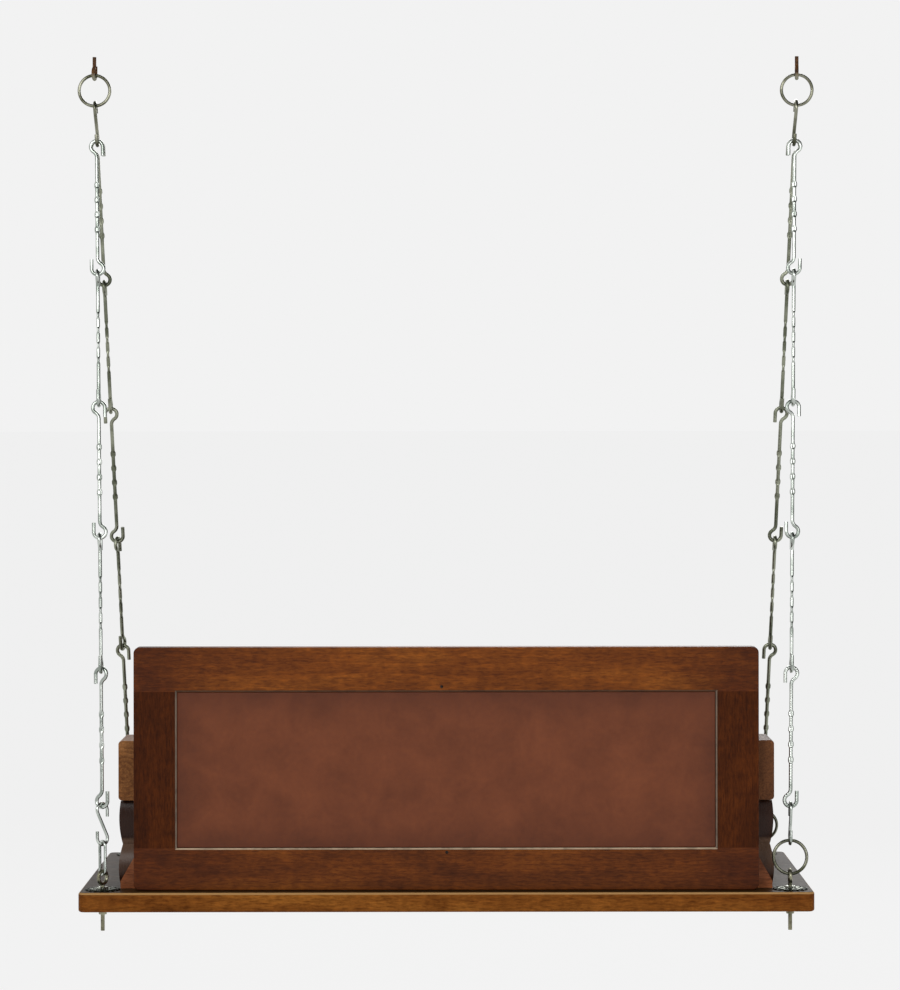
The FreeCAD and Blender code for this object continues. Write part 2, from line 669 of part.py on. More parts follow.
# Seat board: planks glued edge to edge, with the corners rounded in plan
half_board = BOARD_WIDTH / 2
board = block((-half_board, half_board), (0, BOARD_DEPTH), (-BOARD_THICK, 0))
board = eased(board, BOARD_CORNER, lambda edge: runs_along(edge, UP))
board = eased(board, EASED_EDGE, lambda edge: edge.BoundBox.ZLength < 1)
for cutter in [upright(bolt_hole, *place) for place in bolt_places.values()] + pegs + [screw_group]:
    board = board.cut(cutter)
plank_width = BOARD_DEPTH / PLANK_COUNT
for number in range(PLANK_COUNT):
    strip = block(
        (-half_board - 1, half_board + 1),
        (number * plank_width, (number + 1) * plank_width),
        (-BOARD_THICK - 1, 1),
    )
    save("seat_plank_%d" % (number + 1), board.common(strip))

print("rod length %.2f, front S-hook length %.2f" % (ROD_LENGTH, S_LENGTHS["front"]))
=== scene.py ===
import math
import bmesh
import bpy
from mathutils import Matrix, Vector, noise


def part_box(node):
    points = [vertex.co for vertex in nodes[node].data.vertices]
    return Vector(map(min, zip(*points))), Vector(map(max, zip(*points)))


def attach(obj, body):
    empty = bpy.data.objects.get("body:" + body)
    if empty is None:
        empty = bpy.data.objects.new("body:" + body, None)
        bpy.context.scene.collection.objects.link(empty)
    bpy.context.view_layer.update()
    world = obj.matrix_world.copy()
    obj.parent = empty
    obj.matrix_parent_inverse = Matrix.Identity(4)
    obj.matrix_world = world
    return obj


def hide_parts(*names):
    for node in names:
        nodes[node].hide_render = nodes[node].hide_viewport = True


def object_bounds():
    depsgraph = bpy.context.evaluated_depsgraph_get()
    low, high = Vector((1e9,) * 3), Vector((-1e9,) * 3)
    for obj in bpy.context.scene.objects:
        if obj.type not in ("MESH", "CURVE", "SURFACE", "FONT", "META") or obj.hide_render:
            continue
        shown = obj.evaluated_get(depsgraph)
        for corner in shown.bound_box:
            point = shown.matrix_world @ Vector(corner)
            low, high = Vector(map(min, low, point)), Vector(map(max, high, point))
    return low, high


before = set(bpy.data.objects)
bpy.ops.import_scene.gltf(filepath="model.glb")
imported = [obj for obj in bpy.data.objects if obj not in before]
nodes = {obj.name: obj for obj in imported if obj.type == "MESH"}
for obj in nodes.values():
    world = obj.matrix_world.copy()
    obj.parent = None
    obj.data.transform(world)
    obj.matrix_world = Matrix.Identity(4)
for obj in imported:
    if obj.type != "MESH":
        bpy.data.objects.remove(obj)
cad_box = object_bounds()

# Viewpoint: level, behind the hanging seat and a little above its board, through a
# long lens. The board's rear edge and top set the distance and height.
PICTURE_LONG_SIDE = 990
FOCAL_PIXELS = 3601
SENSOR = 36.0
CAMERA_BACK = 5.997
CAMERA_RISE = 0.796
CAMERA_ASIDE = 0.009
CAMERA_LEVEL = 90
CAMERA_ROLL = -0.07
FRAME_RIGHT = 1.2
FRAME_UP = 80.5
board_low, board_high = (Vector(corner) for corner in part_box("seat_plank_1"))
camera_data = bpy.data.cameras.new("camera")
camera_data.sensor_width = SENSOR
camera_data.lens = FOCAL_PIXELS * SENSOR / PICTURE_LONG_SIDE
camera_data.shift_x = -FRAME_RIGHT / PICTURE_LONG_SIDE
camera_data.shift_y = -FRAME_UP / PICTURE_LONG_SIDE
camera = bpy.data.objects.new("camera", camera_data)
bpy.context.collection.objects.link(camera)
place = Vector((CAMERA_ASIDE, board_low.y - CAMERA_BACK, board_high.z + CAMERA_RISE))
level = Matrix.Rotation(math.radians(CAMERA_LEVEL), 4, "X")
roll = Matrix.Rotation(math.radians(CAMERA_ROLL), 4, "Z")
camera.matrix_world = Matrix.Translation(place) @ (level @ roll)
bpy.context.scene.camera = camera


# Back frame: rails, stiles, core panel and pegs of an open-grained brown hardwood, oiled
# and waxed. Growth rings run round a pith line along each piece, so its faces agree.
def srgb(red, green, blue):
    """A colour given as 0 to 255 screen values, as the shader's linear light."""
    linear = []
    for value in (red, green, blue):
        share = value / 255
        linear.append(share / 12.92 if share <= 0.04045 else ((share + 0.055) / 1.055) ** 2.4)
    return (*linear, 1.0)


AXES = "XYZ"
UNCHANGED = (1, 1, 1)


class Shader:
    """A material's node tree, with short calls to add and join nodes."""

    def __init__(self, name):
        self.material = bpy.data.materials.new(name)
        self.material.use_nodes = True
        self.tree = self.material.node_tree
        self.surface = self.tree.nodes["Principled BSDF"]

    def add(self, kind, **settings):
        """A new node; each setting is one of its sockets or of its own choices."""
        node = self.tree.nodes.new(kind)
        for key, value in settings.items():
            socket = node.inputs.get(key.replace("_", " ").title())
            if socket is None:
                setattr(node, key, value)
            else:
                socket.default_value = value
        return node

    def join(self, source, target):
        self.tree.links.new(source, target)

    def feed(self, socket, value):
        """Give a socket a number or a colour, or join another node's output to it."""
        if isinstance(value, (int, float, tuple)):
            socket.default_value = value
        else:
            self.join(value, socket)

    def give(self, socket, value):
        """Feed one socket of the surface itself."""
        self.feed(self.surface.inputs[socket], value)

    def place(self, scale=UNCHANGED, location=(0, 0, 0)):
        """Object coordinates, stretched and moved for one pattern."""
        coordinates = self.add("ShaderNodeTexCoord")
        mapping = self.add("ShaderNodeMapping", location=location, scale=scale)
        self.join(coordinates.outputs["Object"], mapping.inputs["Vector"])
        return mapping.outputs["Vector"]

    def along(self, letter, start=0.0):
        """How far each point lies along one axis of the object, from a start."""
        split = self.add("ShaderNodeSeparateXYZ")
        shift = tuple(-start if axis == letter else 0.0 for axis in AXES)
        self.join(self.place(location=shift), split.inputs["Vector"])
        return split.outputs[letter]

    def noise(self, vector, scale, detail=4.0, roughness=0.55, distortion=0.0):
        node = self.add("ShaderNodeTexNoise", scale=scale, detail=detail, roughness=roughness,
                        distortion=distortion)
        self.join(vector, node.inputs["Vector"])
        return node.outputs["Fac"]

    def ramp(self, factor, *stops):
        """A colour ramp from (position, colour) stops."""
        node = self.add("ShaderNodeValToRGB")
        elements = node.color_ramp.elements
        while len(elements) < len(stops):
            elements.new(0.5)
        for element, (position, colour) in zip(elements, stops):
            element.position = position
            element.color = colour
        self.join(factor, node.inputs["Fac"])
        return node.outputs["Color"]

    def grey(self, factor, low, high, start=0.0, end=1.0):
        """A value mapped from one range to another, held at both ends."""
        node = self.add("ShaderNodeMapRange", from_min=start, from_max=end, to_min=low, to_max=high)
        self.join(factor, node.inputs["Value"])
        return node.outputs["Result"]

    def maths(self, operation, *terms):
        """One step of arithmetic on numbers or on other nodes' outputs."""
        node = self.add("ShaderNodeMath", operation=operation)
        for socket, term in zip(node.inputs, terms):
            self.feed(socket, term)
        return node.outputs[0]

    def blend(self, mode, factor, first, second):
        """Two colours mixed; each term is a value or another node's output."""
        node = self.add("ShaderNodeMix", data_type="RGBA", blend_type=mode)
        self.feed(node.inputs["Factor"], factor)
        colours = [entry for entry in node.inputs if entry.type == "RGBA"]
        for socket, source in zip(colours, (first, second)):
            self.feed(socket, source)
        return next(entry for entry in node.outputs if entry.type == "RGBA")

    def bump(self, height, distance, strength=1.0, under=None):
        """Small relief from a pattern, laid over any relief under it."""
        node = self.add("ShaderNodeBump", distance=distance, strength=strength)
        self.join(height, node.inputs["Height"])
        if under is not None:
            self.join(under, node.inputs["Normal"])
        return node.outputs["Normal"]


UNTINTED = (1, 1, 1, 1)
GRAIN_STRETCH = 0.07
RING_WAVE = {"distortion": 3.2, "detail": 3.0, "detail_scale": 2.2, "detail_roughness": 0.6}
RING_TINTS = ((0.0, (0.76, 0.72, 0.68, 1)), (0.5, UNTINTED), (1.0, (1.18, 1.18, 1.14, 1)))
CLOUD_STRETCH = 0.22
CLOUD_NOISE = (11.0, 5.0, 0.62, 0.9)
CLOUD_STOPS = (0.3, 0.5, 0.72)
# Each figure: its stretch along the grain, its noise, how deep its colour goes, its tints.
WOOD_FIGURES = {
    "ribbon": (1.6, (34.0, 3.0, 0.55, 0.6), 0.62,
               ((0.36, (0.82, 0.78, 0.75, 1)), (0.64, (1.14, 1.13, 1.1, 1)))),
    "flecks": (0.22, (330.0, 3.0, 0.65, 0.3), 0.9,
               ((0.34, (0.66, 0.60, 0.56, 1)), (0.5, UNTINTED), (0.68, (1.3, 1.27, 1.2, 1)))),
    "pores": (0.05, (900.0, 2.0, 0.5), 0.6,
              ((0.34, (0.5, 0.45, 0.42, 1)), (0.44, UNTINTED))),
}
SEED_STEPS = (1.0, 1.7, 0.6)
END_NOISE = (14.0, 3.0, 0.6)
END_BEGINS = 0.62
END_DRIFT = 0.3
ROUGHER = 0.08
SMOOTHER = 0.05
FLECK_RANGE = (0.3, 0.7)
PORE_RELIEF = (0.00010, 0.4)
CLOUD_RELIEF = (0.0005, 0.3)


def along_grain(axis, stretch):
    """A mapping scale that draws a pattern out along the grain."""
    return tuple(stretch if letter == axis else 1.0 for letter in AXES)


def timber(name, tones, axis, pith, rings=34.0, ring_depth=0.5, shine=0.42, ends=None, seed=0.0,
           gloss=0.14, painted_bands=()):
    """Hardwood with rings about a pith line, ribbon figure, short flecks and pores.
    Each painted band is (low, high, mode, colour), painted light or shade that comes in
    between two heights."""
    wood = Shader(name)
    centre = [-value * (GRAIN_STRETCH if letter == axis else 1.0) for value, letter in zip(pith, AXES)]
    grain = wood.place(along_grain(axis, GRAIN_STRETCH), centre)
    wave = wood.add("ShaderNodeTexWave", wave_type="RINGS", rings_direction=axis, wave_profile="SAW",
                    scale=rings, **RING_WAVE)
    wood.join(grain, wave.inputs["Vector"])
    offset = tuple(seed * step for step in SEED_STEPS)
    clouds = wood.noise(wood.place(along_grain(axis, CLOUD_STRETCH), offset), *CLOUD_NOISE)
    colour = wood.ramp(clouds, *zip(CLOUD_STOPS, tones))
    colour = wood.blend("MULTIPLY", ring_depth, colour, wood.ramp(wave.outputs["Fac"], *RING_TINTS))
    patterns = {}
    for figure, (stretch, look, depth, tints) in WOOD_FIGURES.items():
        patterns[figure] = wood.noise(wood.place(along_grain(axis, stretch), offset), *look)
        colour = wood.blend("MULTIPLY", depth, colour, wood.ramp(patterns[figure], *tints))
    if ends is not None:
        reach, shade = ends
        cloud = wood.noise(wood.place(location=offset), *END_NOISE)
        drifted = wood.maths("MULTIPLY_ADD", cloud, END_DRIFT, wood.maths("ABSOLUTE", wood.along("X")))
        far = wood.grey(drifted, 0.0, 1.0, END_BEGINS * reach + END_DRIFT / 2, reach + END_DRIFT / 2)
        colour = wood.blend("MULTIPLY", far, colour, shade)
    for low, high, mode, painted_colour in painted_bands:
        colour = wood.blend(mode, wood.grey(wood.along("Z"), 0.0, 1.0, low, high), colour, painted_colour)
    wood.give("Base Color", colour)
    wood.give("Roughness", wood.grey(patterns["flecks"], shine + ROUGHER, shine - SMOOTHER, *FLECK_RANGE))
    wood.give("Specular IOR Level", gloss)
    hollow = wood.bump(patterns["pores"], *PORE_RELIEF)
    wood.give("Normal", wood.bump(clouds, *CLOUD_RELIEF, hollow))
    return wood.material


def finish(node, material):
    """Give a CAD piece its material in every slot."""
    piece = nodes[node]
    piece.data.materials.clear()
    piece.data.materials.append(material)


RAIL_TONES = (srgb(92, 44, 10), srgb(119, 63, 17), srgb(142, 82, 26))
LOW_RAIL_TONES = (srgb(80, 38, 9), srgb(101, 51, 13), srgb(122, 67, 20))
STILE_TONES = (srgb(52, 22, 4), srgb(68, 30, 6), srgb(84, 40, 9))
PEG_TONES = (srgb(119, 63, 17), srgb(142, 82, 26), srgb(150, 96, 50))
END_SHADE = (0.42, 0.33, 0.30, 1)
LOW_END_SHADE = (0.62, 0.52, 0.50, 1)
TOP_PITH_FORWARD = 0.05
TOP_PITH_BELOW = 0.02
LOW_PITH_ASIDE = 0.3
LOW_PITH_FORWARD = 0.03
LOW_PITH_ABOVE = 0.05
STILE_PITH_OUT = 0.04
STILE_PITH_APART = 0.1
STILE_PITH_FORWARD = 0.02
PANEL_PITH = (0.0, 0.5, 0.0)
CENTRED = (0.0, 0.0, 0.0)
top_low, top_high = (Vector(corner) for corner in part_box("back_top_rail"))
top_pith = (0.0, top_high.y + TOP_PITH_FORWARD, top_low.z - TOP_PITH_BELOW)
finish("back_top_rail", timber("top_rail_wood", RAIL_TONES, "X", top_pith, rings=30.0,
                               ends=(top_high.x, END_SHADE), seed=0.3))
low_high = Vector(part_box("back_bottom_rail")[1])
low_pith = (LOW_PITH_ASIDE, low_high.y + LOW_PITH_FORWARD, low_high.z + LOW_PITH_ABOVE)
finish("back_bottom_rail", timber("bottom_rail_wood", LOW_RAIL_TONES, "X", low_pith, rings=26.0,
                                  ends=(low_high.x, LOW_END_SHADE), seed=1.9))
for side, seed in (("left", 0.0), ("right", 0.37)):
    stile_low, stile_high = (Vector(corner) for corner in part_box("back_stile_" + side))
    stile_pith = (stile_low.x - STILE_PITH_OUT - seed * STILE_PITH_APART,
                  stile_high.y + STILE_PITH_FORWARD, seed)
    finish("back_stile_" + side, timber("stile_wood_" + side, STILE_TONES, "Z", stile_pith, rings=30.0,
                                        seed=seed, gloss=0.08))
finish("back_core_panel", timber("panel_ply_wood", RAIL_TONES, "X", PANEL_PITH, rings=20.0, shine=0.6))
finish("back_pegs", timber("peg_wood", PEG_TONES, "Z", CENTRED))
finish("arm_dowels", timber("dowel_wood", PEG_TONES, "Y", CENTRED))


# Seat board: wide planks of the same hardwood glued edge to edge. Its top is darkened
# with painted shade; along the outer planks a painted highlight on the arris runs under
# a painted dark rim at the top.
BOARD_TOP_SHADE = (0.27, 0.38, 0.42, 1)
BOARD_ARRIS_HIGHLIGHT = srgb(172, 132, 84)
BOARD_TOP_RIM_SHADE = srgb(56, 37, 15)
BOARD_END_SHADE = (0.80, 0.76, 0.78, 1)
WAX_TINT = (0.95, 0.95, 0.70, 1)
# Each painted band of light or shade begins and is whole at these depths below the top.
INNER_TOP_SHADE = ((0.0016, 0.0008, "MULTIPLY", BOARD_TOP_SHADE),)
OUTER_HIGHLIGHT_AND_SHADE = ((0.0040, 0.0030, "MIX", BOARD_ARRIS_HIGHLIGHT), (0.0006, 0.0002, "MIX", BOARD_TOP_RIM_SHADE))
PLANK_TONES = (
    (srgb(92, 50, 16), srgb(124, 73, 27), srgb(150, 95, 38)),
    (srgb(88, 48, 16), srgb(119, 70, 26), srgb(145, 91, 37)),
    (srgb(95, 52, 17), srgb(127, 75, 29), srgb(152, 97, 41)),
    (srgb(90, 49, 16), srgb(122, 72, 27), srgb(148, 93, 38)),
)
OUTER_PLANKS = (1, len(PLANK_TONES))
PLANK_PITH_STEP = 0.1
PLANK_PITH_BELOW = 0.07
PLANK_PITH_DRIFT = 0.05
for number, tones in enumerate(PLANK_TONES, 1):
    plank = "seat_plank_%d" % number
    low, high = (Vector(corner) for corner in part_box(plank))
    drift = PLANK_PITH_DRIFT * (number % 2)
    pith = (PLANK_PITH_STEP * number, (low.y + high.y) / 2 + drift, low.z - PLANK_PITH_BELOW - drift)
    painted_bands = [(high.z - begins, high.z - whole, mode, colour)
             for begins, whole, mode, colour in (OUTER_HIGHLIGHT_AND_SHADE if number in OUTER_PLANKS else INNER_TOP_SHADE)]
    board_wood = timber(plank + "_wood", tones, "X", pith, rings=24.0, shine=0.40,
                        ends=(high.x, BOARD_END_SHADE), seed=2.3 * number, gloss=0.05, painted_bands=painted_bands)
    board_wood.node_tree.nodes["Principled BSDF"].inputs["Specular Tint"].default_value = WAX_TINT
    finish(plank, board_wood)


# Arms: thick rests with rounded arrises over waisted posts, and a small wedge foot
# against the back. The rests' rear ends show end grain; the posts are stained darker,
# with a painted sheen on the top of each lower lobe.
ARM_PITH_IN = 0.010
ARM_PITH_UP = 0.047
RIGHT_PITH_OUT = 0.05
RIGHT_PITH_BELOW = 0.04
ARM_RING_DEPTH = 0.65
ARM_RING_CHANGE = 0.35
ARM_TONES = {
    "left": (srgb(106, 64, 32), srgb(134, 88, 48), srgb(158, 110, 68)),
    "right": (srgb(74, 42, 20), srgb(94, 57, 31), srgb(112, 70, 40)),
}
POST_LOBE_TOP = 0.47
POST_SHEEN_BEGINS = 0.1
POST_SHEEN_FADE = 0.006
POST_PITH_FORWARD = 0.1
POST_DARK = srgb(48, 24, 12)
# Painted sheen: pale colour laid over the top of each post's lower lobe, dark again above it.
POST_PAINTED_SHEEN = srgb(112, 88, 72)
POST_TONES = (srgb(36, 16, 7), POST_DARK, srgb(62, 32, 16))
WEDGE_TONES = (srgb(112, 62, 36), srgb(142, 84, 52), srgb(166, 106, 70))
for side, way in (("left", -1), ("right", 1)):
    low, high = (Vector(corner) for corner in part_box("arm_rest_" + side))
    outer = low.x if way < 0 else high.x
    rest_pith = (outer - way * ARM_PITH_IN, 0.0, low.z + ARM_PITH_UP)
    if way > 0:
        rest_pith = (outer + RIGHT_PITH_OUT, 0.0, low.z - RIGHT_PITH_BELOW)
    finish("arm_rest_" + side, timber("arm_rest_wood_" + side, ARM_TONES[side], "Y", rest_pith, rings=38.0,
                                      ring_depth=ARM_RING_DEPTH - ARM_RING_CHANGE * way, shine=0.45,
                                      seed=0.8 * way))
    for end in ("rear", "front"):
        post = "arm_post_%s_%s" % (end, side)
        low, high = (Vector(corner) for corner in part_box(post))
        tall = high.z - low.z
        swell = low.z + POST_LOBE_TOP * tall
        wear_and_sheen = ((low.z + POST_SHEEN_BEGINS * tall, swell, "MIX", POST_PAINTED_SHEEN),
                  (swell, swell + POST_SHEEN_FADE, "MIX", POST_DARK))
        finish(post, timber(post + "_wood", POST_TONES, "Z", (outer, POST_PITH_FORWARD, 0.0), rings=36.0,
                            shine=0.26, gloss=0.2, painted_bands=wear_and_sheen))
finish("wedge_feet", timber("wedge_wood", WEDGE_TONES, "X", CENTRED, rings=40.0, shine=0.3))


# Leather pads: brown hide over thin wadding on both faces of the back's core panel.
# The rear one lies almost flat in its frame; the front one is fuller, for leaning on.
LEATHER_DARK = srgb(100, 50, 25)
LEATHER_COLOUR = srgb(111, 57, 30)
LEATHER_LIGHT = srgb(120, 63, 34)
HIDE_CLOUDS = (15.0, 6.0, 0.68, 0.3)
HIDE_CLOUD_TONES = ((0.32, LEATHER_DARK), (0.5, LEATHER_COLOUR), (0.7, LEATHER_LIGHT))
HIDE_FLECKS = (120.0, 4.0, 0.6)
HIDE_FLECK_TINTS = ((0.3, (0.88, 0.87, 0.87, 1)), (0.65, (1.05, 1.05, 1.04, 1)))
HIDE_FLECK_DEPTH = 0.8
HIDE_ROUGH = (0.46, 0.58, 0.3, 0.7)
HIDE_GLOSS = 0.25
GRAIN_CELLS = 850.0
CREASE_WIDE = 0.12
CREASE_RELIEF = (0.00010, 0.45)
WAVY_RELIEF = (0.0008, 0.25)
# Painted shade along the pad's rim: its tint, its width and how it falls off.
LEATHER_RIM_SHADE = (0.66, 0.62, 0.60, 1)
RIM_SHADE_WIDE = 0.075
RIM_SHADE_FALL = 2.0


def hide(name, half_width, middle_height, half_height):
    """Satin leather, a little clouded, darkened towards the rim by painted shade."""
    leather = Shader(name)
    cloud = leather.noise(leather.place(), *HIDE_CLOUDS)
    fine = leather.noise(leather.place(), *HIDE_FLECKS)
    colour = leather.ramp(cloud, *HIDE_CLOUD_TONES)
    flecks = leather.ramp(fine, *HIDE_FLECK_TINTS)
    colour = leather.blend("MULTIPLY", HIDE_FLECK_DEPTH, colour, flecks)
    rims = []
    for letter, middle, half in (("X", 0.0, half_width), ("Z", middle_height, half_height)):
        away = leather.maths("ABSOLUTE", leather.along(letter, middle))
        rims.append(leather.grey(away, 0.0, 1.0, half - RIM_SHADE_WIDE, half))
    # Painted shade: the colour darkens towards the rim on every side.
    rim = leather.maths("POWER", leather.maths("MAXIMUM", *rims), RIM_SHADE_FALL)
    leather.give("Base Color", leather.blend("MULTIPLY", rim, colour, LEATHER_RIM_SHADE))
    cells = leather.add("ShaderNodeTexVoronoi", feature="DISTANCE_TO_EDGE", scale=GRAIN_CELLS)
    leather.join(leather.place(), cells.inputs["Vector"])
    creases = leather.grey(cells.outputs["Distance"], 0.0, 1.0, 0.0, CREASE_WIDE)
    grain = leather.bump(creases, *CREASE_RELIEF)
    leather.give("Normal", leather.bump(cloud, *WAVY_RELIEF, grain))
    leather.give("Roughness", leather.grey(fine, *HIDE_ROUGH))
    leather.give("Specular IOR Level", HIDE_GLOSS)
    return leather.material


def settle(name, mesh, *replaced):
    """Make an object of a finished bmesh, ride it and stand it in for CAD nodes."""
    data = bpy.data.meshes.new(name)
    mesh.to_mesh(data)
    mesh.free()
    piece = bpy.data.objects.new(name, data)
    bpy.context.collection.objects.link(piece)
    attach(piece, "seat")
    if replaced:
        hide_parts(*replaced)
    return piece


CELLS_ACROSS = 150
CELLS_UP = 56
RIM_CROWDING = 1.7
SWELL_ACROSS = 3
SWELL_UP = 2.4
PULL_FADE = 4
HIDE_THICK = 0.0006
RIPPLES = 9
RIPPLE_FACE = 3.0
RIPPLE_NOISE = (0.6, 2.1, 4)


def leather_pad(name, node, toward, edge, roll_wide, crown, drawn_in, wrinkle):
    """A closed pad over a CAD pad's place: toward is -1 for the rear, 1 for the front.
    Its rim rolls down to edge above the core panel and its middle rises by crown."""
    low, high = (Vector(corner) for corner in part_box(node))
    centre = (low + high) / 2
    half = (high - low) / 2
    base = high.y if toward < 0 else low.y
    mesh = bmesh.new()
    bmesh.ops.create_grid(mesh, x_segments=CELLS_ACROSS, y_segments=CELLS_UP, size=1.0)
    for vertex in mesh.verts:
        across, up = (math.copysign(1 - (1 - min(abs(share), 1.0)) ** RIM_CROWDING, share)
                      for share in vertex.co.xy)
        swell = (1 - abs(across) ** SWELL_ACROSS) * (1 - abs(up) ** SWELL_UP)
        pull_up = drawn_in * (1 - across ** PULL_FADE) * up
        pull_across = drawn_in * (1 - up ** PULL_FADE) * across
        from_rim = min((1 - abs(across)) * half.x, (1 - abs(up)) * half.z)
        rolled = min(from_rim / roll_wide, 1.0)
        rim = edge * math.sqrt(max(0.0, 1 - (1 - rolled) ** 2))
        spot = Vector((across * half.x * RIPPLES, up * half.z * RIPPLES, RIPPLE_FACE * toward))
        ripple = wrinkle * noise.fractal(spot, *RIPPLE_NOISE) * rolled
        vertex.co = Vector((
            centre.x + across * half.x - pull_across,
            base + toward * (HIDE_THICK + rim + crown * swell + ripple),
            centre.z + up * half.z - pull_up,
        ))
    rim_edges = [item for item in mesh.edges if item.is_boundary]
    walls = bmesh.ops.extrude_edge_only(mesh, edges=rim_edges)["geom"]
    for vertex in (item for item in walls if isinstance(item, bmesh.types.BMVert)):
        vertex.co.y = base
    bmesh.ops.holes_fill(mesh, edges=[item for item in mesh.edges if item.is_boundary], sides=0)
    bmesh.ops.recalc_face_normals(mesh, faces=mesh.faces)
    for face in mesh.faces:
        face.smooth = True
    return settle(name, mesh, node)


rear_pad = leather_pad("rear_leather", "leather_pad_rear", -1, edge=0.0088, roll_wide=0.0015, crown=0.0004,
                       drawn_in=0.0, wrinkle=0.0003)
front_pad = leather_pad("front_leather", "leather_pad_front", 1, edge=0.0085, roll_wide=0.009, crown=0.0125,
                        drawn_in=0.003, wrinkle=0.0014)
pad_low, pad_high = (Vector(corner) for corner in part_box("leather_pad_rear"))
leather_hide = hide("brown_hide", pad_high.x, (pad_low.z + pad_high.z) / 2, (pad_high.z - pad_low.z) / 2)
for pad, fill in ((rear_pad, 0.3), (front_pad, 0.7)):
    pad.data.materials.append(leather_hide)


# Opening's edge: a thin strip over the bevelled arris round the leather, coloured as a
# painted highlight. It is painted brightest along the bottom, greyer at the sides and darkest along the
# top.
ARRIS_WIDE = 0.0025
ARRIS_PROUD = 0.0002
ARRIS_THICK = 0.0003
# Painted highlight colours for the bottom, the top and the sides of the opening.
ARRIS_HIGHLIGHTS = {"low": srgb(190, 166, 138), "high": srgb(92, 62, 38), "side": srgb(124, 106, 90)}
ARRIS_SIDES = ("low", "side", "high", "side")
ARRIS_NOISE = (60.0, 4.0, 0.6)
ARRIS_SHADE = 0.62
ARRIS_PATCHES = (0.35, 0.55)
ARRIS_ROUGH = (0.5, 0.35)


def painted_highlight_edge(name, colour):
    """A painted highlight in pale colour, patchy along its length."""
    edge = Shader(name)
    worn = edge.noise(edge.place(), *ARRIS_NOISE)
    darker = (*(value * ARRIS_SHADE for value in colour[:3]), 1.0)
    edge.give("Base Color", edge.ramp(worn, *zip(ARRIS_PATCHES, (darker, colour))))
    edge.give("Roughness", edge.grey(worn, *ARRIS_ROUGH))
    return edge.material


rear_face = top_low.y
arris_mesh = bmesh.new()
rims = []
for grow, level in ((ARRIS_WIDE, rear_face - ARRIS_PROUD), (0.0, rear_face + ARRIS_WIDE - ARRIS_PROUD)):
    corners = [(pad_low.x - grow, pad_low.z - grow), (pad_high.x + grow, pad_low.z - grow),
               (pad_high.x + grow, pad_high.z + grow), (pad_low.x - grow, pad_high.z + grow)]
    rims.append([arris_mesh.verts.new((x, level, z)) for x, z in corners])
for number, side in enumerate(ARRIS_SIDES):
    after = (number + 1) % len(ARRIS_SIDES)
    strip = arris_mesh.faces.new((rims[0][number], rims[0][after], rims[1][after], rims[1][number]))
    strip.material_index = list(ARRIS_HIGHLIGHTS).index(side)
bmesh.ops.recalc_face_normals(arris_mesh, faces=arris_mesh.faces)
bmesh.ops.solidify(arris_mesh, geom=arris_mesh.faces[:], thickness=ARRIS_THICK)
arris_highlight_strip = settle("arris_highlight_strip", arris_mesh)
for side, colour in ARRIS_HIGHLIGHTS.items():
    arris_highlight_strip.data.materials.append(painted_highlight_edge("arris_" + side, colour))


# Hanging ironwork: hooks, rings and rods bent from round wire, plated, then worn.
# The ceiling hooks have rusted brown; the front chains have dulled to an olive grey.
PLATE_NOISE = (3.0, 0.5)
PLATE_PATCHES = (0.36, 0.6)
PLATE_ROUGH_RANGE = (0.35, 0.6)
PLATE_RELIEF = (0.0002, 0.3)
RIDGE_RELIEF = (0.00018, 1.0)
RIDGE_PITCH = 0.0026
BANDS_PER_SCALE = 20
RIDGED_RODS = ("rod_front_left_1", "rod_front_left_4", "rod_front_right_1", "rod_front_right_3",
               "rod_rear_right_5")


def worn_metal(name, bright, dull, roughness, patch, metallic=1.0, rough_spread=0.14, ridged=False,
               wear_and_sheen=None):
    """Plated or bare iron with soft dull patches; a ridged rod has fine rolled ribs.
    The wear_and_sheen band is (low, high, colour), bare metal that shows below a height."""
    metal = Shader(name)
    cloud = metal.noise(metal.place(), patch, *PLATE_NOISE)
    colour = metal.ramp(cloud, *zip(PLATE_PATCHES, (dull, bright)))
    if wear_and_sheen is not None:
        low, high, bare = wear_and_sheen
        colour = metal.blend("MIX", metal.grey(metal.along("Z"), 1.0, 0.0, low, high), colour, bare)
    metal.give("Base Color", colour)
    metal.give("Roughness", metal.grey(cloud, roughness + rough_spread, roughness, *PLATE_ROUGH_RANGE))
    relief = metal.bump(cloud, *PLATE_RELIEF)
    if ridged:
        ribs = metal.add("ShaderNodeTexWave", wave_type="BANDS", bands_direction="Z",
                         scale=2 * math.pi / (BANDS_PER_SCALE * RIDGE_PITCH))
        metal.join(metal.place(), ribs.inputs["Vector"])
        relief = metal.bump(ribs.outputs["Fac"], *RIDGE_RELIEF, relief)
    metal.give("Normal", relief)
    metal.give("Metallic", metallic)
    return metal.material


BRIGHT_PLATE = {"bright": srgb(204, 209, 203), "dull": srgb(146, 154, 146), "roughness": 0.18,
                "patch": 34.0, "rough_spread": 0.1}
OLIVE_PLATE = {"bright": srgb(146, 149, 132), "dull": srgb(96, 100, 84), "roughness": 0.30,
               "patch": 30.0, "rough_spread": 0.08}
HOOK_BARE = srgb(150, 148, 128)
HOOK_BARE_UP_TO = 0.004
HOOK_RUSTED_FROM = 0.013
bright_rods = worn_metal("bright_rod_plate", **BRIGHT_PLATE)
bright_ridged = worn_metal("bright_ridged_plate", **BRIGHT_PLATE, ridged=True)
olive_rods = worn_metal("olive_rod_plate", **OLIVE_PLATE)
olive_ridged = worn_metal("olive_ridged_plate", **OLIVE_PLATE, ridged=True)
ring_plate = worn_metal("ring_plate", srgb(146, 146, 130), srgb(74, 75, 58), roughness=0.18, patch=24.0)
bolt_iron = worn_metal("bolt_iron", srgb(158, 156, 134), srgb(104, 100, 78), roughness=0.28, patch=90.0)
hook_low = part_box("ceiling_hook_left")[0][2]
